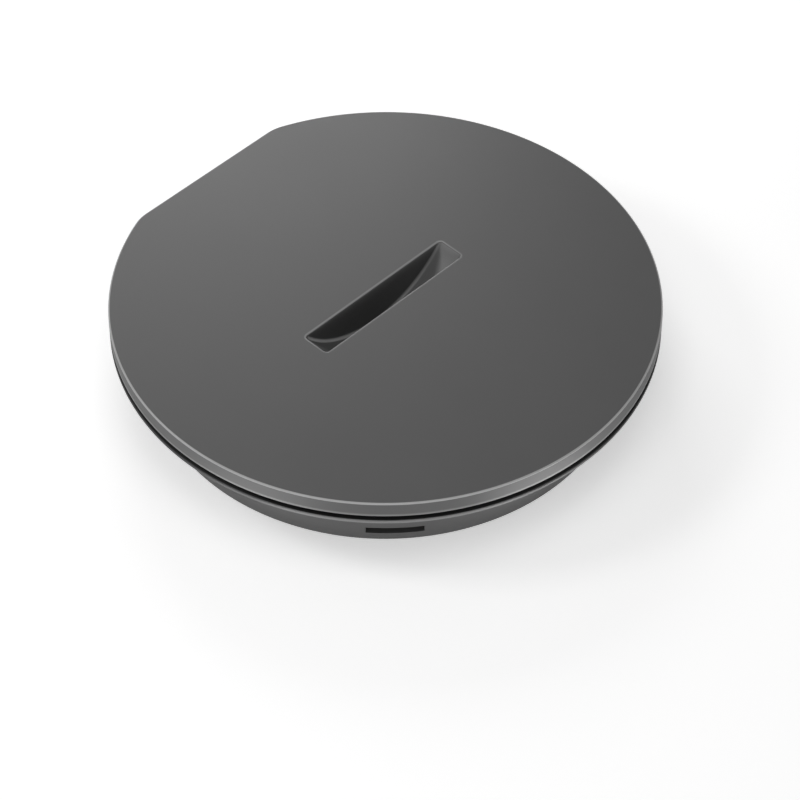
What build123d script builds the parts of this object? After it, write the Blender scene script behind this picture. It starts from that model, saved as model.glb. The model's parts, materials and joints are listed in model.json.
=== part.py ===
from build123d import *
import os

# Vacuum floor head end cap, one injection-moulded piece. The round cover plate closes the
# side of the floor head, the skirt below it plugs into the side opening, and a coin turned
# in the slot takes the cap out again.
# Frame: Z is the cap's axis, with the cover plate up. Z = 0 is the seat, the underside of the
# flange that lies against the floor head. X runs along the coin slot, and Y points from the
# axis to the plate's straight edge. Millimetres.

# Skirt that plugs into the side opening
skirt_diameter = 52.0
skirt_length = 7.1          # below the seat
skirt_wall = 1.8
skirt_lead_in = 0.2         # bevel of the skirt's lower outer edge

# Flange: the cover plate, a groove all round below it, and the thin lip on the seat
flange_overhang = 4.0       # reach of the flange past the skirt
flat_depth = 1.8            # how far the straight edge cuts into the round outline
flat_corner = 5.0           # radius where the straight edge runs into the round one
plate_thickness = 2.0
plate_edge = 0.2            # rounding of the plate's upper edge
plate_under_edge = 0.2      # bevel of the plate's lower edge
groove_height = 0.65
groove_depth = 1.3
lip_thickness = 0.4
lip_edge = 0.12             # bevel of the lip's two edges

# Hollow inside the skirt
roof_thickness = 2.4        # from the plate's face to the ceiling of the hollow
roof_corner = 1.0           # bevel where the ceiling meets the skirt

# Catch window through the skirt
window_angle = -133.0       # degrees about Z, counted from X
window_width = 6.2
window_height = 0.8
window_rise = 1.05          # from the skirt's foot to the window

# Coin slot, a pocket shaped like the lower edge of a coin
coin_diameter = 26.5
coin_sink = 5.1             # depth at the middle of the slot
slot_width = 3.3
slot_offset = 0.2           # of the slot's middle from the axis, towards the straight edge
slot_floor_corner = 0.35    # rounding between the floor and the long walls
slot_edge = 0.15            # rounding of the slot's mouth
pocket_wall = 1.6           # wall round the pocket, inside the hollow

# Ribs that carry the turning force from the pocket to the skirt
rib_thickness = 1.4
rib_depth = 3.0             # below the ceiling

skirt_radius = skirt_diameter / 2
hollow_radius = skirt_radius - skirt_wall
plate_radius = skirt_radius + flange_overhang
flat_distance = plate_radius - flat_depth
groove_bottom = lip_thickness
plate_bottom = groove_bottom + groove_height
plate_top = plate_bottom + plate_thickness
ceiling = plate_top - roof_thickness
foot = -skirt_length
upwards = (Align.CENTER, Align.CENTER, Align.MIN)


def flange_outline():
    """The round outline with one straight edge that the plate and the lip share."""
    keep_depth = plate_radius + flat_distance
    keep = Pos(0, flat_distance - keep_depth / 2) * Rectangle(2 * plate_radius, keep_depth)
    outline = Circle(plate_radius) & keep
    corners = outline.vertices().sort_by(Axis.Y)[-2:]
    return fillet(corners, flat_corner)


def slab(outline, bottom, thickness):
    return extrude(Pos(0, 0, bottom) * outline, thickness)


def upper_rim(piece):
    return piece.faces().sort_by(Axis.Z)[-1].edges()


def lower_rim(piece):
    return piece.faces().sort_by(Axis.Z)[0].edges()


def cover_plate(outline):
    """The plate, rounded above where a hand meets it and bevelled below, over the groove."""
    largest_edge = 0.45 * plate_thickness
    plate = slab(outline, plate_bottom, plate_thickness)
    plate = fillet(upper_rim(plate), min(plate_edge, largest_edge))
    return chamfer(lower_rim(plate), min(plate_under_edge, largest_edge))


def lip(outline):
    """The thin lip that lies on the seat, bevelled above and below."""
    bevel = min(lip_edge, 0.45 * lip_thickness)
    ring = slab(outline, 0, lip_thickness)
    ring = chamfer(upper_rim(ring), bevel)
    return chamfer(lower_rim(ring), bevel)


def flange():
    outline = flange_outline()
    neck = slab(offset(outline, -groove_depth), groove_bottom, groove_height)
    return cover_plate(outline) + neck + lip(outline)


def skirt():
    """The plug, bevelled at its foot so that it finds the opening."""
    plug = Pos(0, 0, foot) * Cylinder(skirt_radius, skirt_length, align=upwards)
    return chamfer(lower_rim(plug), min(skirt_lead_in, 0.8 * skirt_wall))


def hollow():
    """The space inside the skirt, open at the foot and bevelled under the ceiling."""
    space = Pos(0, 0, foot) * Cylinder(hollow_radius, ceiling - foot, align=upwards)
    return chamfer(upper_rim(space), roof_corner)


def coin(thicker=0.0):
    """A coin standing on edge in the slot, made larger all round by a wall if one is given."""
    thickness = slot_width + 2 * thicker
    rim_corner = min(slot_floor_corner, 0.45 * slot_width) + thicker
    disc = Cylinder(coin_diameter / 2 + thicker, thickness)
    disc = fillet(disc.edges().filter_by(GeomType.CIRCLE), rim_corner)
    centre = plate_top - coin_sink + coin_diameter / 2
    return Pos(0, slot_offset, centre) * Rot(90, 0, 0) * disc


def inner_walls(space):
    """The wall round the coin pocket and the two ribs, where they stand in the hollow."""
    rib = Pos(0, 0, ceiling - rib_depth / 2) * Box(rib_thickness, skirt_diameter, rib_depth)
    return (coin(pocket_wall) + rib) & space


def window():
    """The cutter for the catch window, from inside the skirt to outside it."""
    block = Box(4 * skirt_wall, window_width, window_height, align=upwards)
    middle_of_wall = skirt_radius - skirt_wall / 2
    return Rot(0, 0, window_angle) * Pos(middle_of_wall, 0, foot + window_rise) * block


def end_cap():
    space = hollow()
    shell = flange() + skirt() - space
    body = shell + inner_walls(space) - window() - coin()
    face = body.faces().filter_by(Plane.XY).sort_by(Axis.Z)[-1]
    mouth = face.inner_wires()[0]
    return fillet(mouth.edges(), slot_edge)


os.makedirs("parts", exist_ok=True)
export_step(end_cap(), "parts/end_cap.step")
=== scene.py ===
import json
import math
import bmesh
import bpy
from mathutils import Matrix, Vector


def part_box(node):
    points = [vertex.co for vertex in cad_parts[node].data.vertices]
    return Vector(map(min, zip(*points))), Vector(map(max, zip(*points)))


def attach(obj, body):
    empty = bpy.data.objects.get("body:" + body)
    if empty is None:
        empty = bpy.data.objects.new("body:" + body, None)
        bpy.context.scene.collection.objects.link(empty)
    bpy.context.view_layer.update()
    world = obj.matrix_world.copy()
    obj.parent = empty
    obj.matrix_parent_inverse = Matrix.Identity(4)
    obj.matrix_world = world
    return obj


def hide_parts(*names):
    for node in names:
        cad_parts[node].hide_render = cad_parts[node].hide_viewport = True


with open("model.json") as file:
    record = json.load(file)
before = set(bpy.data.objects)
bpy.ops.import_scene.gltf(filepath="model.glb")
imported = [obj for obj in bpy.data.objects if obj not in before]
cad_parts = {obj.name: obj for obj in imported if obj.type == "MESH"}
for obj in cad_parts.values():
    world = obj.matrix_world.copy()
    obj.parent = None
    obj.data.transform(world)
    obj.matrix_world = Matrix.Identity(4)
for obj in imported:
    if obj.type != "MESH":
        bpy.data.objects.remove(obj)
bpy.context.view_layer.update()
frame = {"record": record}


# Cover plate, groove and lip.
# The visible top of the cap: a round plate with one straight edge, a narrow dark groove under its rim and
# a thin lip that rests on the floor head. All of it is one shot of grey plastic with softly rounded edges.
# The edges carry painted highlights, and painted shade deepens the groove's darkness.
mm = 0.001
cap_low, cap_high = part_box("end_cap")
plate_top = cap_high.z
plate_radius = cap_high.x
plate_thickness = 2.0 * mm
plate_under = plate_top - plate_thickness
plate_edge = 0.2 * mm
plate_under_edge = 0.2 * mm
flat_distance = cap_high.y
flat_corner = 5.0 * mm
groove_depth = 1.3 * mm
lip_top = 0.4 * mm
lip_edge = 0.12 * mm
face_margin = 0.05 * mm       # strip of a flat face beside a rounding, which lets the rest shade as flat
paint_fade_reach = 0.05 * mm        # over which an edge's painted light gives way to the faces beside it
under_paint_fade_reach = 0.3 * mm   # the same at the plate's lower edge
# Painted highlights on the rim, the plate's lower edge and the lip's edges; painted shade in the groove and
# on the lip.
rim_highlight = 0.7
under_highlight = 0.28
lip_highlight = 0.27
lip_shade = -0.9
groove_shade = -1.0
window_turn = math.radians(-133)
full_highlight_turn = math.radians(10)
full_shade_turn = math.radians(50)
arc_steps = 336
corner_steps = 12
flat_steps = 40
edge_steps = 6

moulding = bmesh.new()
# Per vertex: positive for a painted highlight, negative for painted shade, 0 on plain skin.
painted_highlight_and_shade = moulding.verts.layers.float.new("painted_highlight_and_shade")
FACE, SIDE, HOLLOW = 0, 1, 2


def ring(points, painted_lights=None):
    """A closed ring of vertices; painted light is positive for a painted highlight, 0 on plain skin and
    negative for painted shade.
    """
    made = [moulding.verts.new(point) for point in points]
    for vertex, painted_light in zip(made, painted_lights or [0.0] * len(made)):
        vertex[painted_highlight_and_shade] = painted_light
    return made


def bridge(first, second, finish=SIDE, open_columns=()):
    """Faces between two rings of equal count, apart from the columns that stay open."""
    count = len(first)
    for i in range(count):
        if i in open_columns:
            continue
        j = (i + 1) % count
        face = moulding.faces.new((first[i], first[j], second[j], second[i]))
        face.material_index = finish


def bridge_all(rings, finish=SIDE):
    """Faces between each ring and the next."""
    for first, second in zip(rings, rings[1:]):
        bridge(first, second, finish)


def edge_arc(centre, level, radius, start, end, steps=edge_steps):
    """(distance, level) round an edge in the upright section; 0 degrees looks outward and 90 up."""
    for i in range(steps + 1):
        angle = math.radians(start + (end - start) * i / steps)
        yield centre + radius * math.cos(angle), level + radius * math.sin(angle)


def painted_edge(centre, level, radius, start, end, reach, painted_light, before=0.0, after=0.0):
    """(distance, level, painted light) round an edge, with its painted light giving way to that of the faces
    beside it.
    """
    arc = list(edge_arc(centre, level, radius, start, end))
    quarter = math.copysign(90, end - start)
    back, on = math.radians(start - quarter), math.radians(end + quarter)
    yield arc[0][0] + reach * math.cos(back), arc[0][1] + reach * math.sin(back), before
    for distance, height in arc:
        yield distance, height, painted_light
    yield arc[-1][0] + reach * math.cos(on), arc[-1][1] + reach * math.sin(on), after


def plan_arc(centre_x, centre_y, radius, start, end, steps):
    """(place, outward direction) along an arc of the outline, without its last point."""
    for i in range(steps):
        angle = start + (end - start) * i / steps
        outward = Vector((math.cos(angle), math.sin(angle), 0))
        yield Vector((centre_x, centre_y, 0)) + outward * radius, outward


def plan_line(start, end, outward, steps):
    """(place, outward direction) along a straight stretch of the outline, without its last point."""
    for i in range(steps):
        yield start.lerp(end, i / steps), outward


corner_y = flat_distance - flat_corner
corner_x = math.sqrt((plate_radius - flat_corner) ** 2 - corner_y ** 2)
corner_turn = math.atan2(corner_y, corner_x)
flat_right = Vector((corner_x, flat_distance, 0))
flat_left = Vector((-corner_x, flat_distance, 0))
outline = list(plan_arc(0, 0, plate_radius, math.pi - corner_turn, 2 * math.pi + corner_turn, arc_steps))
outline += plan_arc(corner_x, corner_y, flat_corner, corner_turn, math.pi / 2, corner_steps)
outline += plan_line(flat_right, flat_left, Vector((0, 1, 0)), flat_steps)
outline += plan_arc(-corner_x, corner_y, flat_corner, math.pi / 2, math.pi - corner_turn, corner_steps)
columns = [math.atan2(place.y, place.x) for place, outward in outline]

rim_arc = edge_arc(-plate_edge, plate_top - plate_edge, plate_edge, 90, 0)
rim_highlights = [0.0] + [rim_highlight] * (edge_steps - 1) + [0.0]
plate_rim = [(outset, level, painted_light) for (outset, level), painted_light in zip(rim_arc, rim_highlights)]
plate_lower = list(painted_edge(-plate_under_edge, plate_under + plate_under_edge, plate_under_edge, 0, -90,
                             under_paint_fade_reach, under_highlight, after=groove_shade))
groove = [(-groove_depth, plate_under, groove_shade), (-groove_depth, lip_top, groove_shade)]
lip_upper = list(painted_edge(-lip_edge, lip_top - lip_edge, lip_edge, 90, 0, paint_fade_reach, lip_highlight,
                           before=groove_shade))
lip_lower = list(painted_edge(-lip_edge, lip_edge, lip_edge, 0, -90, paint_fade_reach, lip_highlight))


def flange_ring(outset, level, painted_lights=None):
    """A ring along the plate's outline, set out from it and raised to a level."""
    return ring([place + outward * outset + Vector((0, 0, level)) for place, outward in outline], painted_lights)


def highlight_near_window(turn):
    """1 over the catch window, falling to 0 away from it: the lip's share of painted highlight against
    painted shade.
    """
    away = abs(math.remainder(turn - window_turn, 2 * math.pi))
    faded = min(max((away - full_highlight_turn) / (full_shade_turn - full_highlight_turn), 0.0), 1.0)
    return 1 - faded ** 2


face_ring = flange_ring(-plate_edge - face_margin, plate_top)
flange_rings = [flange_ring(outset, level, [painted_light] * len(outline))
                for outset, level, painted_light in plate_rim + plate_lower + groove]

# The lip's two edges get a painted highlight near the window and painted shade elsewhere.
highlight_shares = [highlight_near_window(turn) for turn in columns]
for outset, level, painted_light in lip_upper[:-1] + lip_lower[1:]:
    painted_lights = [painted_light * highlight_share + lip_shade * (1 - highlight_share) if painted_light > 0 else painted_light for highlight_share in highlight_shares]
    flange_rings.append(flange_ring(outset, level, painted_lights))
bridge(face_ring, flange_rings[0], FACE)
bridge_all(flange_rings)


# Skirt with its catch window.
# The round plug under the plate that pushes into the floor head: a thin moulded wall, hollow inside, with a
# lead-in at its foot and one small oblong window for a catch. Its outside is lightened a little with painted
# light.
mounts = {mount["name"]: mount for mount in frame["record"]["mounts"]}
skirt_radius = mounts["plug_skirt"]["dims"]["r_mm"] * mm
skirt_foot = cap_low.z
skirt_wall = 1.8 * mm
skirt_root = 0.15 * mm
# Painted light that lightens the skirt's outside a little.
skirt_painted_light = 0.035
lead_in = 0.2 * mm
foot_edge = 0.15 * mm
hollow_radius = skirt_radius - skirt_wall
roof_thickness = 2.4 * mm
ceiling = plate_top - roof_thickness
ceiling_corner = 1.0 * mm
window_width = 6.2 * mm
window_height = 0.8 * mm
window_rise = 1.05 * mm
window_low = skirt_foot + window_rise
window_high = window_low + window_height
small_edge_steps = 4


def nearest_column(turn):
    """The index of the outline's column nearest to a turn round the axis."""
    return min(range(len(columns)), key=lambda i: abs(columns[i] - turn))


window_half_turn = math.asin(window_width / 2 / skirt_radius)
window_span = range(nearest_column(window_turn - window_half_turn),
                    nearest_column(window_turn + window_half_turn))


def wall_columns(radius):
    """The angles of a wall's columns, with two of them moved onto the window's sides."""
    half_turn = math.asin(window_width / 2 / radius)
    angles = list(columns)
    angles[window_span.start] = window_turn - half_turn
    angles[window_span.stop] = window_turn + half_turn
    return angles


def wall_ring(radius, level, angles, painted_light=0.0):
    """A round ring of the skirt's wall, with even painted light."""
    places = [Vector((radius * math.cos(angle), radius * math.sin(angle), level)) for angle in angles]
    return ring(places, [painted_light] * len(places))


def wall_rings(section, angles, painted_light=0.0):
    """A ring for each (distance, level) of an upright section."""
    return [wall_ring(distance, level, angles, painted_light) for distance, level in section]


outer_angles = wall_columns(skirt_radius)
inner_angles = wall_columns(hollow_radius)
root_arc = edge_arc(skirt_radius + skirt_root, -skirt_root, skirt_root, 90, 180, small_edge_steps)
foot_arc = edge_arc(skirt_radius - lead_in, skirt_foot + lead_in, lead_in, 0, -90)
inner_foot_arc = edge_arc(hollow_radius + foot_edge, skirt_foot + foot_edge, foot_edge, -90, -180,
                          small_edge_steps)
ceiling_arc = edge_arc(hollow_radius - ceiling_corner, ceiling - ceiling_corner, ceiling_corner, 0, 90)

outer_root = wall_rings(root_arc, outer_angles, skirt_painted_light)
outer_high = wall_ring(skirt_radius, window_high, outer_angles, skirt_painted_light)
outer_low = wall_ring(skirt_radius, window_low, outer_angles, skirt_painted_light)
outer_foot = wall_rings(foot_arc, outer_angles, skirt_painted_light)
inner_foot = wall_rings(inner_foot_arc, inner_angles)
inner_low = wall_ring(hollow_radius, window_low, inner_angles)
inner_high = wall_ring(hollow_radius, window_high, inner_angles)
roof_rings = wall_rings(ceiling_arc, inner_angles)
roof_rings.append(wall_ring(hollow_radius - ceiling_corner - face_margin, ceiling, inner_angles))

bridge_all([flange_rings[-1]] + outer_root + [outer_high])
bridge(outer_high, outer_low, SIDE, window_span)
bridge_all([outer_low] + outer_foot + inner_foot)
bridge(inner_foot[-1], inner_low, HOLLOW)
bridge(inner_low, inner_high, HOLLOW, window_span)
bridge_all([inner_high] + roof_rings, HOLLOW)

# The window's own four sides.
for i in window_span:
    window_roof = moulding.faces.new((outer_high[i], outer_high[i + 1], inner_high[i + 1], inner_high[i]))
    window_sill = moulding.faces.new((outer_low[i], outer_low[i + 1], inner_low[i + 1], inner_low[i]))
    window_roof.material_index = SIDE
    window_sill.material_index = SIDE
for i in (window_span.start, window_span.stop):
    window_cheek = moulding.faces.new((outer_low[i], outer_high[i], inner_high[i], inner_low[i]))
    window_cheek.material_index = SIDE


# Coin slot and the pocket under it.
# A slot for the edge of a coin that turns the cap: its floor is the arc of the coin's rim, with rounded
# corners. Under the plate an even wall follows it as a rounded pocket that stands down into the hollow.
coin_diameter = 26.5 * mm
coin_radius = coin_diameter / 2
coin_sink = 5.1 * mm
coin_level = plate_top - coin_sink + coin_radius
slot_width = 3.3 * mm
slot_offset = 0.2 * mm
slot_floor_corner = 0.35 * mm
slot_edge = 0.15 * mm
pocket_wall = 1.6 * mm
pocket_root = 0.4 * mm
# Painted highlights on the mouth's edge, stronger on the far side, and on the floor's corner line, stronger
# at the left; painted light on the floor, growing towards the right end.
far_mouth_highlight = 0.4
near_mouth_highlight = 0.16
mouth_paint_fade_reach = 0.15 * mm
left_corner_highlight = 0.9
right_corner_highlight = 0.3
right_floor_light = 0.16
side_steps = 30
bend_steps = 8
end_steps = 4
edge_rows = 4
wall_rows = 4
bend_rows = 6
floor_rows = 4
merge_distance = 0.0005 * mm


def between(first, last, share):
    """The number that lies a share of the way from the first to the last."""
    return first + (last - first) * share


class CoinTrough:
    """The trough that a coin's edge leaves: upright walls, a floor round the coin's axis, round corners."""

    def __init__(self, radius, half_width, corner, rim_level):
        self.radius = radius
        self.corner = corner
        self.half_width = half_width
        self.bend_radius = radius - corner
        self.bend_y = half_width - corner
        self.rise = coin_level - rim_level
        self.wall_end = math.sqrt(self.bend_radius ** 2 - self.rise ** 2)
        self.end = math.sqrt(radius ** 2 - self.rise ** 2)

    def floor_level(self, x, y):
        """The height of the trough's floor or rounded corner under a point of the plan."""
        reach = min(max(abs(y) - self.bend_y, 0.0), self.corner)
        radius = self.bend_radius + math.sqrt(self.corner ** 2 - reach ** 2)
        return coin_level - math.sqrt(radius ** 2 - x ** 2)

    def half_mouth(self):
        """(x, y, surface normal) along the mouth, from the middle of one side round an end to the other."""
        quarter = []
        for i in range(side_steps):
            x = self.wall_end * math.sin(math.pi / 2 * i / side_steps)
            quarter.append((x, self.half_width, Vector((0, 1, 0))))
        for i in range(bend_steps + 1):
            angle = math.pi / 2 * i / bend_steps
            radius = self.bend_radius + self.corner * math.sin(angle)
            x = math.sqrt(radius ** 2 - self.rise ** 2)
            y = self.bend_y + self.corner * math.cos(angle)
            around = Vector((x, 0, -self.rise)) / radius
            quarter.append((x, y, around * math.sin(angle) + Vector((0, 1, 0)) * math.cos(angle)))
        end_normal = Vector((self.end, 0, -self.rise)) / self.radius
        for i in range(1, end_steps):
            quarter.append((self.end, self.bend_y * (1 - i / end_steps), end_normal))
        mirrored = [(x, -y, Vector((normal.x, -normal.y, normal.z)))
                    for x, y, normal in reversed(quarter[1:])]
        return quarter + [(self.end, 0.0, end_normal)] + mirrored

    def mouth(self):
        """(x, y, surface normal) all round the mouth."""
        half = self.half_mouth()
        return half + [(-x, -y, Vector((-normal.x, -normal.y, normal.z))) for x, y, normal in half]

    def mouth_edge(self, x, y, normal, edge):
        """Points from the flat face round the mouth's rounded edge."""
        place = Vector((x, y, coin_level - self.rise))
        outward = Vector((normal.x, normal.y, 0)).normalized()
        downward = (Vector((0, 0, -1)) + normal * normal.z).normalized()
        half_turn = outward.angle(downward) / 2
        middle = (outward + downward).normalized()
        centre = place + middle * (edge / math.sin(half_turn))
        first = (place + outward * (edge / math.tan(half_turn)) - centre).normalized()
        last = (place + downward * (edge / math.tan(half_turn)) - centre).normalized()
        arc = [centre + first.slerp(last, i / edge_rows) * edge for i in range(edge_rows + 1)]
        return [arc[0] + outward * mouth_paint_fade_reach] + arc

    def on_floor(self, start):
        """0 where the mouth's edge leads down a wall, rising to 1 where it leads straight onto the floor."""
        start_radius = math.hypot(start.x, coin_level - start.z)
        return min(max((start_radius - self.bend_radius) / self.corner, 0.0), 1.0)

    def down_wall(self, start, on_floor):
        """Points from just past the mouth's edge down to the wall's foot."""
        inner_x = start.x - math.copysign(paint_fade_reach * on_floor, start.x)
        foot = Vector((inner_x, start.y, self.floor_level(inner_x, start.y)))
        top = Vector((inner_x, start.y, max(start.z - paint_fade_reach, foot.z)))
        return [top.lerp(foot, i / wall_rows) for i in range(wall_rows + 1)]

    def across_floor(self, foot, x, on_floor):
        """Points from the wall's foot round the floor's corner to the floor's middle line."""
        start_reach = abs(foot.y)
        first_angle = math.asin(on_floor)
        reaches = []
        for i in range(1, bend_rows + 1):
            angle = between(first_angle, math.pi / 2, i / bend_rows)
            reaches.append(min(start_reach, self.bend_y + self.corner * math.cos(angle)))
        reaches += [reaches[-1] * (1 - i / floor_rows) for i in range(1, floor_rows + 1)]

        spine_end = self.end - self.half_width
        spine_x = min(max(x, -spine_end), spine_end)
        points = []
        for i, reach in enumerate(reaches):
            if start_reach > self.bend_y:
                share = 1 - reach / start_reach
            else:
                share = max(0.0, (i + 1 - bend_rows) / floor_rows)
            floor_x = between(foot.x, spine_x, share)
            floor_y = math.copysign(reach, foot.y)
            points.append(Vector((floor_x, floor_y, self.floor_level(floor_x, floor_y))))
        return points

    def painted_lights(self, x, y, on_floor):
        """The painted light of a path's points: painted highlights on the mouth's edge and the floor's corner
        line, and painted light on the floor.
        """
        nearness = (1 - y / self.half_width) / 2
        rightness = (1 + x / self.end) / 2
        mouth_highlight = between(far_mouth_highlight, near_mouth_highlight, nearness)
        corner_highlight = between(left_corner_highlight, right_corner_highlight, rightness)
        floor_light = right_floor_light * rightness
        mouth = [0.0] + [mouth_highlight if 2 * i <= edge_rows else 0.0 for i in range(edge_rows + 1)]
        wall = [floor_light * on_floor] * (wall_rows + 1)
        bend = []
        for i in range(1, bend_rows + 1):
            line = corner_highlight * (1 - on_floor) * math.sin(math.pi * i / bend_rows)
            bend.append(max(line, floor_light * max(on_floor, i / bend_rows)))
        return mouth + wall + bend + [floor_light] * floor_rows

    def path(self, x, y, normal, edge):
        """Points, and their painted light, from the flat face round the mouth's edge and down to the middle
        line.
        """
        mouth = self.mouth_edge(x, y, normal, edge)
        on_floor = self.on_floor(mouth[-1])
        wall = self.down_wall(mouth[-1], on_floor)
        floor = self.across_floor(wall[-1], x, on_floor)
        return mouth + wall + floor, self.painted_lights(x, y, on_floor)


def trough_rings(trough, edge, finish):
    """The trough's walls and floor; returns the ring round its mouth, which the flat face meets."""
    paths = [trough.path(x, y, normal, edge) for x, y, normal in trough.mouth()]
    shift = Vector((0, slot_offset, 0))
    rings = []
    for row in range(len(paths[0][0])):
        places = [points[row] + shift for points, painted_lights in paths]
        rings.append(ring(places, [painted_lights[row] for points, painted_lights in paths]))
    bridge_all(rings, finish)
    return rings[0]


def loop_edges(closed_ring):
    """The edges that join a ring's neighbours, for filling a face up to the ring."""
    pairs = zip(closed_ring, closed_ring[1:] + closed_ring[:1])
    return [moulding.edges.get(pair) for pair in pairs]


def fill_flat(outer_ring, inner_ring, finish):
    """One flat face with a hole, as triangles between two rings."""
    edges = loop_edges(outer_ring) + loop_edges(inner_ring)
    filled = bmesh.ops.triangle_fill(moulding, edges=edges, use_beauty=True)
    for piece in filled["geom"]:
        if isinstance(piece, bmesh.types.BMFace):
            piece.material_index = finish


slot = CoinTrough(coin_radius, slot_width / 2, slot_floor_corner, plate_top)
pocket = CoinTrough(coin_radius + pocket_wall, slot_width / 2 + pocket_wall,
                    slot_floor_corner + pocket_wall, ceiling)
fill_flat(face_ring, trough_rings(slot, slot_edge, FACE), FACE)
fill_flat(roof_rings[-1], trough_rings(pocket, pocket_root, HOLLOW), HOLLOW)

# The plate, skirt, slot and pocket as one closed mesh.
bmesh.ops.remove_doubles(moulding, verts=moulding.verts, dist=merge_distance)
bmesh.ops.dissolve_degenerate(moulding, edges=moulding.edges, dist=merge_distance)
bmesh.ops.recalc_face_normals(moulding, faces=moulding.faces)
cap_mesh = bpy.data.meshes.new("end_cap_moulding")
moulding.to_mesh(cap_mesh)
moulding.free()
cap = bpy.data.objects.new("end_cap_moulding", cap_mesh)
bpy.context.scene.collection.objects.link(cap)


# Satin grey plastic.
# One grey plastic, coloured all through. The mould is eroded finely on the plate's face, coarsely on the
# sides and machined plainly in the hollow. Edges are smoother and carry painted highlights, and painted
# shade darkens the groove.
plastic_grey = (0.115, 0.115, 0.115, 1)
plastic_ior = 1.5
# Colours of the painted highlights on edges and of the painted shade.
painted_highlight_grey = (0.62, 0.62, 0.62, 1)
highlight_roughness = 0.2
painted_shade_grey = (0.025, 0.025, 0.025, 1)
mottle_size = 7.0 * mm
mottle_detail = 3.0
mottle_low = 0.3
mottle_high = 0.7
tone_spread = 0.012
roughness_spread = 0.015
grain_detail = 2.0
relief_strength = 0.25


def feed(tree, socket, value):
    """Sets a socket to a value, or links it from another socket."""
    if isinstance(value, bpy.types.NodeSocket):
        tree.links.new(value, socket)
    else:
        socket.default_value = value


def node(tree, kind, settings=None, **values):
    """A new node with its settings, its inputs set to values or linked from sockets."""
    made = tree.nodes.new(kind)
    for name, setting in (settings or {}).items():
        setattr(made, name, setting)
    for name, value in values.items():
        feed(tree, made.inputs[name.replace("_", " ")], value)
    return made


def math_node(tree, operation, *values):
    """The result of a calculation with values or sockets."""
    made = node(tree, "ShaderNodeMath", {"operation": operation})
    for socket, value in zip(made.inputs, values):
        feed(tree, socket, value)
    return made.outputs[0]


def mix_node(tree, kind, share, first, second):
    """Two numbers (FLOAT) or two colours (RGBA) mixed by a share from 0 to 1."""
    first_input, second_input, result = {"FLOAT": (2, 3, 0), "RGBA": (6, 7, 2)}[kind]
    made = node(tree, "ShaderNodeMix", {"data_type": kind})
    feed(tree, made.inputs[0], share)
    feed(tree, made.inputs[first_input], first)
    feed(tree, made.inputs[second_input], second)
    return made.outputs[result]


def shader_group(name, inputs, outputs):
    """An empty shader node group, with the sockets that its nodes take from and give to."""
    tree = bpy.data.node_groups.new(name, "ShaderNodeTree")
    for in_out, sockets in (("INPUT", inputs), ("OUTPUT", outputs)):
        for socket_name, kind in sockets.items():
            tree.interface.new_socket(socket_name, in_out=in_out, socket_type=kind)
    return tree, tree.nodes.new("NodeGroupInput").outputs, tree.nodes.new("NodeGroupOutput").inputs


skin, skin_in, skin_out = shader_group(
    "moulded_skin",
    {"Colour": "NodeSocketColor", "Tone Spread": "NodeSocketFloat", "Roughness": "NodeSocketFloat",
     "Roughness Spread": "NodeSocketFloat", "Grain Per Metre": "NodeSocketFloat"},
    {"Colour": "NodeSocketColor", "Roughness": "NodeSocketFloat", "Height": "NodeSocketFloat"})
place_on_cap = skin.nodes.new("ShaderNodeTexCoord").outputs["Object"]
grain = node(skin, "ShaderNodeTexNoise", Vector=place_on_cap, Scale=skin_in["Grain Per Metre"],
             Detail=grain_detail)
mottle = node(skin, "ShaderNodeTexNoise", Vector=place_on_cap, Scale=1 / mottle_size, Detail=mottle_detail)
swing = node(skin, "ShaderNodeMapRange", Value=mottle.outputs[0], From_Min=mottle_low, From_Max=mottle_high,
             To_Min=-1.0).outputs[0]
tone = math_node(skin, "MULTIPLY_ADD", swing, skin_in["Tone Spread"], 1.0)
toned = node(skin, "ShaderNodeVectorMath", {"operation": "SCALE"}, Scale=tone)
skin.links.new(skin_in["Colour"], toned.inputs[0])
gloss = math_node(skin, "MULTIPLY_ADD", swing, skin_in["Roughness Spread"], skin_in["Roughness"])
skin.links.new(toned.outputs[0], skin_out["Colour"])
skin.links.new(gloss, skin_out["Roughness"])
skin.links.new(grain.outputs[0], skin_out["Height"])

painted_edge_light, edge_light_in, edge_light_out = shader_group(
    "painted_edge_light",
    {"Colour": "NodeSocketColor", "Rubbed Colour": "NodeSocketColor", "Soiled Colour": "NodeSocketColor",
     "Roughness": "NodeSocketFloat", "Rubbed Roughness": "NodeSocketFloat"},
    {"Colour": "NodeSocketColor", "Roughness": "NodeSocketFloat"})
# Positive values mix in the painted highlight, negative values mix in the painted shade.
highlight_share = node(painted_edge_light, "ShaderNodeAttribute", {"attribute_name": "painted_highlight_and_shade"}).outputs["Fac"]
shade_share = math_node(painted_edge_light, "MULTIPLY", highlight_share, -1.0)
shaded = mix_node(painted_edge_light, "RGBA", shade_share, edge_light_in["Colour"], edge_light_in["Soiled Colour"])
lighter = mix_node(painted_edge_light, "RGBA", highlight_share, shaded, edge_light_in["Rubbed Colour"])
smoother = mix_node(painted_edge_light, "FLOAT", highlight_share, edge_light_in["Roughness"], edge_light_in["Rubbed Roughness"])
painted_edge_light.links.new(lighter, edge_light_out["Colour"])
painted_edge_light.links.new(smoother, edge_light_out["Roughness"])


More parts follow.
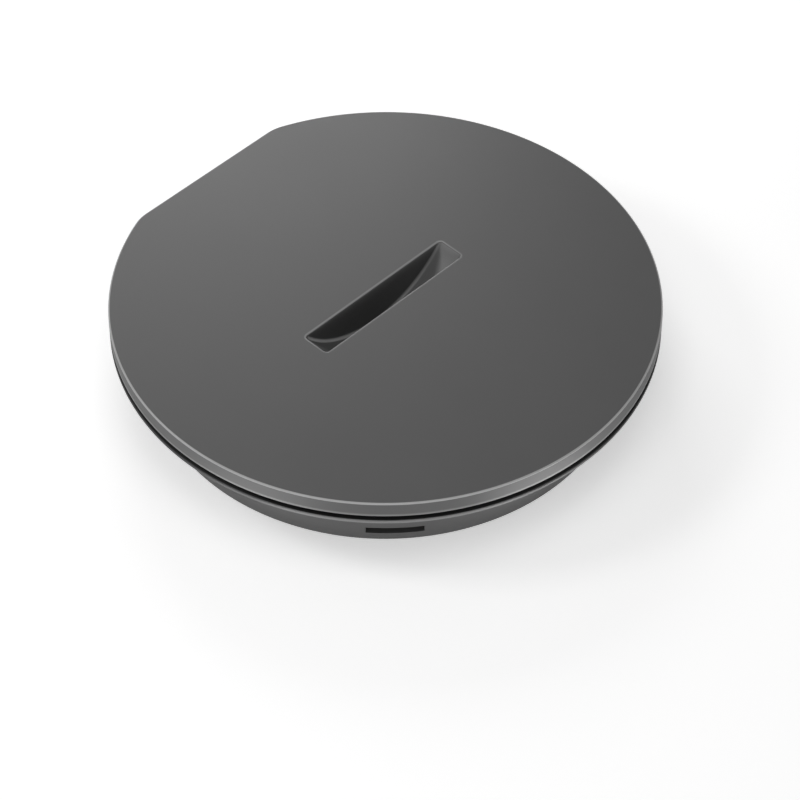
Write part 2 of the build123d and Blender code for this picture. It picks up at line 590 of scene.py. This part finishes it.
def moulded_plastic(name, roughness, grain_size, grain_depth, painted):
    """A plastic with the moulded skin; if painted, edges carry painted highlights and are smoother, and
    painted shade is dark.
    """
    material = bpy.data.materials.new(name)
    material.use_nodes = True
    tree = material.node_tree
    tree.nodes.clear()
    moulded = node(tree, "ShaderNodeGroup", {"node_tree": skin}, Colour=plastic_grey, Tone_Spread=tone_spread,
                   Roughness=roughness, Roughness_Spread=roughness_spread,
                   Grain_Per_Metre=1 / grain_size).outputs
    finish = moulded
    if painted:
        finish = node(tree, "ShaderNodeGroup", {"node_tree": painted_edge_light}, Colour=moulded["Colour"],
                      Rubbed_Colour=painted_highlight_grey, Soiled_Colour=painted_shade_grey, Roughness=moulded["Roughness"],
                      Rubbed_Roughness=highlight_roughness).outputs
    relief = node(tree, "ShaderNodeBump", Strength=relief_strength, Distance=grain_depth,
                  Height=moulded["Height"])
    surface = node(tree, "ShaderNodeBsdfPrincipled", Base_Color=finish["Colour"],
                   Roughness=finish["Roughness"], Normal=relief.outputs[0], IOR=plastic_ior)
    node(tree, "ShaderNodeOutputMaterial", Surface=surface.outputs[0])
    return material


face_plastic = moulded_plastic("satin_grey_face", roughness=0.42, grain_size=0.16 * mm,
                               grain_depth=0.01 * mm, painted=True)
side_plastic = moulded_plastic("coarse_grey_sides", roughness=0.6, grain_size=0.2 * mm,
                               grain_depth=0.015 * mm, painted=True)
hollow_plastic = moulded_plastic("plain_grey_hollow", roughness=0.36, grain_size=0.5 * mm,
                                 grain_depth=0.01 * mm, painted=False)
for material in (face_plastic, side_plastic, hollow_plastic):
    cap_mesh.materials.append(material)


# Ribs and ejector marks inside the hollow.
# Two plain ribs brace the pocket against the skirt, and four round pins leave their faint raised marks on
# the ceiling where they push the cap out of the mould. Both are part of the same shot of plastic.
rib_count = 2
rib_turn = math.radians(90)
rib_thickness = 1.4 * mm
rib_depth = 3.0 * mm
rib_edge = 0.3 * mm
rib_edge_steps = 4
rib_inner_end = 2.4 * mm
rib_into_skirt = 0.8 * mm
rib_into_ceiling = 0.4 * mm
mark_count = 4
mark_turn = math.radians(45)
mark_radius = 2.0 * mm
mark_rise = 0.08 * mm         # below the ceiling; the other half of the disc is sunk in it
mark_circle = 16.5 * mm
mark_sides = 48
crease_angle = math.radians(35)

hollow_sizes = {
    "Rib Count": ("NodeSocketInt", rib_count),
    "Rib Thickness": ("NodeSocketFloat", rib_thickness),
    "Rib Height": ("NodeSocketFloat", rib_depth + rib_into_ceiling),
    "Rib Edge": ("NodeSocketFloat", rib_edge),
    "Rib Start": ("NodeSocketVector", (rib_inner_end, 0, 0)),
    "Rib End": ("NodeSocketVector", (hollow_radius + rib_into_skirt, 0, 0)),
    "Rib Place": ("NodeSocketVector", (0, 0, ceiling + (rib_into_ceiling - rib_depth) / 2)),
    "Mark Count": ("NodeSocketInt", mark_count),
    "Mark Radius": ("NodeSocketFloat", mark_radius),
    "Mark Depth": ("NodeSocketFloat", 2 * mark_rise),
    "Mark Circle": ("NodeSocketFloat", mark_circle),
    "Mark Place": ("NodeSocketVector", (0, 0, ceiling)),
    "Finish": ("NodeSocketMaterial", hollow_plastic),
}
hollow_tree = bpy.data.node_groups.new("hollow_ribs_and_marks", "GeometryNodeTree")
hollow_tree.interface.new_socket("Geometry", in_out="OUTPUT", socket_type="NodeSocketGeometry")
size_sockets = {name: hollow_tree.interface.new_socket(name, in_out="INPUT", socket_type=kind)
                for name, (kind, value) in hollow_sizes.items()}
size = hollow_tree.nodes.new("NodeGroupInput").outputs


def around_the_axis(count, first_turn, place, shape, distance):
    """The shape at equal turns round the cap's axis, at a distance from it."""
    points = node(hollow_tree, "GeometryNodeMeshLine", Count=count, Offset=(0, 0, 0)).outputs["Mesh"]
    index = hollow_tree.nodes.new("GeometryNodeInputIndex").outputs[0]
    step = math_node(hollow_tree, "DIVIDE", 2 * math.pi, count)
    turn = math_node(hollow_tree, "MULTIPLY_ADD", index, step, first_turn)
    spin = node(hollow_tree, "ShaderNodeCombineXYZ", Z=turn).outputs[0]
    outward = node(hollow_tree, "ShaderNodeCombineXYZ", X=distance).outputs[0]
    moved = node(hollow_tree, "GeometryNodeTransform", Geometry=shape, Translation=outward).outputs[0]
    copies = node(hollow_tree, "GeometryNodeInstanceOnPoints", Points=points, Instance=moved, Rotation=spin)
    placed = node(hollow_tree, "GeometryNodeTransform", Geometry=copies.outputs[0], Translation=place)
    return placed.outputs[0]


rib_line = node(hollow_tree, "GeometryNodeCurvePrimitiveLine", Start=size["Rib Start"], End=size["Rib End"])
rib_section = node(hollow_tree, "GeometryNodeCurvePrimitiveQuadrilateral",
                   Width=size["Rib Thickness"], Height=size["Rib Height"])
rib_rounded = node(hollow_tree, "GeometryNodeFilletCurve", {"mode": "POLY"}, Count=rib_edge_steps,
                   Curve=rib_section.outputs[0], Radius=size["Rib Edge"])
rib = node(hollow_tree, "GeometryNodeCurveToMesh", Curve=rib_line.outputs[0],
           Profile_Curve=rib_rounded.outputs[0], Fill_Caps=True)
mark = node(hollow_tree, "GeometryNodeMeshCylinder", Vertices=mark_sides, Radius=size["Mark Radius"],
            Depth=size["Mark Depth"])
ribs = around_the_axis(size["Rib Count"], rib_turn, size["Rib Place"], rib.outputs[0], 0.0)
marks = around_the_axis(size["Mark Count"], mark_turn, size["Mark Place"], mark.outputs["Mesh"],
                        size["Mark Circle"])
joined = hollow_tree.nodes.new("GeometryNodeJoinGeometry")
hollow_tree.links.new(ribs, joined.inputs[0])
hollow_tree.links.new(marks, joined.inputs[0])
realized = node(hollow_tree, "GeometryNodeRealizeInstances", Geometry=joined.outputs[0])
finished = node(hollow_tree, "GeometryNodeSetMaterial", Geometry=realized.outputs[0], Material=size["Finish"])
hollow_output = hollow_tree.nodes.new("NodeGroupOutput")
hollow_tree.links.new(finished.outputs[0], hollow_output.inputs[0])

hollow_details = bpy.data.objects.new("hollow_details", bpy.data.meshes.new("hollow_details"))
bpy.context.scene.collection.objects.link(hollow_details)
details_nodes = hollow_details.modifiers.new("ribs_and_marks", "NODES")
details_nodes.node_group = hollow_tree
for name, (kind, value) in hollow_sizes.items():
    details_nodes[size_sockets[name].identifier] = value


def as_plain_mesh(piece, name):
    """Gives the piece its mesh with the modifiers applied."""
    depsgraph = bpy.context.evaluated_depsgraph_get()
    mesh = bpy.data.meshes.new_from_object(piece.evaluated_get(depsgraph), depsgraph=depsgraph)
    mesh.name = name
    piece.modifiers.clear()
    piece.data = mesh


as_plain_mesh(hollow_details, "hollow_details")
union = cap.modifiers.new("join_ribs_and_marks", "BOOLEAN")
union.operation = "UNION"
union.solver = "EXACT"
union.material_mode = "TRANSFER"
union.object = hollow_details
as_plain_mesh(cap, "end_cap_moulding")
bpy.data.objects.remove(hollow_details)

cap.data.shade_smooth()
cap.data.set_sharp_from_angle(angle=crease_angle)
flat_faces = cap.modifiers.new("flat_faces", "WEIGHTED_NORMAL")
flat_faces.keep_sharp = True
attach(cap, "root")
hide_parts("end_cap")


# Floor and backdrop.
# A plain white sheet of paper that sweeps up all round, far from the cap. It is lifted towards white where
# it is seen, directly or in a reflection, but not inside the skirt, and it keeps the cap's soft shadow.
floor_gap = 0.02 * mm
floor_level = skirt_foot - floor_gap
floor_reach = 1.2
sweep_radius = 0.3
sweep_steps = 16
sweep_columns = 128
white = (1, 1, 1, 1)
floor_white = (0.95, 0.95, 0.95, 1)
paper_roughness = 0.9
floor_lift = 0.45
far_lift = 0.8
lit_reach = 0.1
unlit_reach = 0.6
room_light = 0.185

sheet = bmesh.new()
sheet_section = [(0.0, floor_level)]
sheet_section += edge_arc(floor_reach, floor_level + sweep_radius, sweep_radius, -90, 0, sweep_steps)
section_points = [sheet.verts.new((distance, 0, level)) for distance, level in sheet_section]
section_lines = [sheet.edges.new(pair) for pair in zip(section_points, section_points[1:])]
bmesh.ops.spin(sheet, geom=section_points + section_lines, cent=(0, 0, 0), axis=(0, 0, 1),
               angle=2 * math.pi, steps=sweep_columns, use_merge=True)
bmesh.ops.remove_doubles(sheet, verts=sheet.verts, dist=merge_distance)
bmesh.ops.recalc_face_normals(sheet, faces=sheet.faces)
floor_mesh = bpy.data.meshes.new("floor")
sheet.to_mesh(floor_mesh)
sheet.free()
floor_mesh.shade_smooth()
floor = bpy.data.objects.new("floor", floor_mesh)
bpy.context.scene.collection.objects.link(floor)

floor_paper = bpy.data.materials.new("white_floor")
floor_paper.use_nodes = True
paper = floor_paper.node_tree
paper.nodes.clear()
ray = node(paper, "ShaderNodeLightPath").outputs
in_glass_or_gloss = math_node(paper, "MAXIMUM", ray["Is Glossy Ray"], ray["Is Transmission Ray"])
seen = math_node(paper, "MAXIMUM", ray["Is Camera Ray"], in_glass_or_gloss)
place_on_floor = node(paper, "ShaderNodeTexCoord").outputs["Object"]
from_axis = node(paper, "ShaderNodeVectorMath", {"operation": "LENGTH"})
paper.links.new(place_on_floor, from_axis.inputs[0])
outside_skirt = math_node(paper, "GREATER_THAN", from_axis.outputs["Value"], skirt_radius)
rising_lift = node(paper, "ShaderNodeMapRange", Value=from_axis.outputs["Value"], From_Min=lit_reach,
                   From_Max=unlit_reach, To_Min=floor_lift, To_Max=far_lift).outputs[0]
lift = math_node(paper, "MULTIPLY", seen, math_node(paper, "MULTIPLY", outside_skirt, rising_lift))
paper_surface = node(paper, "ShaderNodeBsdfPrincipled", Base_Color=floor_white, Roughness=paper_roughness,
                     Specular_IOR_Level=0.0, Emission_Color=white, Emission_Strength=lift)
node(paper, "ShaderNodeOutputMaterial", Surface=paper_surface.outputs[0])
floor_mesh.materials.append(floor_paper)

room = bpy.data.worlds.new("room")
bpy.context.scene.world = room
room.use_nodes = True
air = room.node_tree
air.nodes.clear()
backdrop = node(air, "ShaderNodeBackground", Color=white, Strength=room_light)
node(air, "ShaderNodeOutputWorld", Surface=backdrop.outputs[0])


# Studio lights.
# A crisp key stands to the left, a panel behind the cap gives the plate its sheen, a wide softbox hangs
# overhead, and a low panel and two small pools of light on the floor brighten the rim from the front.
plate_middle = Vector((0, 0, plate_top))
pool_distance = 38.5 * mm
pool_width = 12 * mm
pool_length = 16 * mm
pool_rise = 0.2 * mm


def softbox(name, turn, rise, distance, width, height, watts):
    """An area light that looks at the plate; turn is round the cap's axis from the slot's right end."""
    lamp = bpy.data.lights.new(name, "AREA")
    lamp.shape = "RECTANGLE"
    lamp.size = width
    lamp.size_y = height
    lamp.energy = watts
    light = bpy.data.objects.new(name, lamp)
    turn, rise = math.radians(turn), math.radians(rise)
    toward = Vector((math.cos(turn) * math.cos(rise), math.sin(turn) * math.cos(rise), math.sin(rise)))
    light.location = plate_middle + toward * distance
    light.rotation_euler = (-toward).to_track_quat("-Z", "Y").to_euler()
    light.visible_camera = False
    bpy.context.scene.collection.objects.link(light)
    return light


def floor_pool(name, turn, watts):
    """A small patch of light that lies on the floor beside the rim and shines up."""
    patch = softbox(name, turn, rise=0, distance=pool_distance, width=pool_width, height=pool_length,
                    watts=watts)
    patch.location.z = skirt_foot + pool_rise
    patch.rotation_euler = (math.pi, 0, math.radians(turn))


softbox("key", turn=135, rise=39, distance=0.25, width=0.07, height=0.07, watts=0.111)
softbox("back_panel", turn=57, rise=29, distance=0.165, width=0.09, height=0.055, watts=0.072)
softbox("overhead", turn=-135, rise=75, distance=0.35, width=0.27, height=0.27, watts=0.28)
softbox("front_panel", turn=-135, rise=6, distance=0.3, width=0.5, height=0.05, watts=0.3)
floor_pool("pool_left", turn=-166, watts=0.0012)
floor_pool("pool_right", turn=-97, watts=0.002)


# Camera.
# It looks down on the plate at the slant and from the side that the photograph does, through a long lens,
# so that the round plate is a plain oval and the straight edge lies at the upper left.
picture_size = 800
focal_pixels = 3401.5
sensor_width = 36
camera_turn = math.radians(-45)
camera_rise = math.radians(44.97)
camera_distance = 368.5 * mm
aim_right = 1.52 * mm
aim_up = -11.2 * mm
nearest_seen = 10 * mm
backward = Vector((math.sin(camera_turn) * math.cos(camera_rise),
                   -math.cos(camera_turn) * math.cos(camera_rise), math.sin(camera_rise)))
rightward = Vector((math.cos(camera_turn), math.sin(camera_turn), 0))
upward = backward.cross(rightward)
camera_data = bpy.data.cameras.new("camera")
camera_data.sensor_width = sensor_width
camera_data.lens = focal_pixels * sensor_width / picture_size
camera_data.clip_start = nearest_seen
camera = bpy.data.objects.new("camera", camera_data)
camera.location = plate_middle + backward * camera_distance
aim = plate_middle + rightward * aim_right + upward * aim_up
camera.rotation_euler = (aim - camera.location).to_track_quat("-Z", "Y").to_euler()
bpy.context.scene.collection.objects.link(camera)
bpy.context.scene.camera = camera

bpy.context.scene.view_settings.view_transform = "Standard"
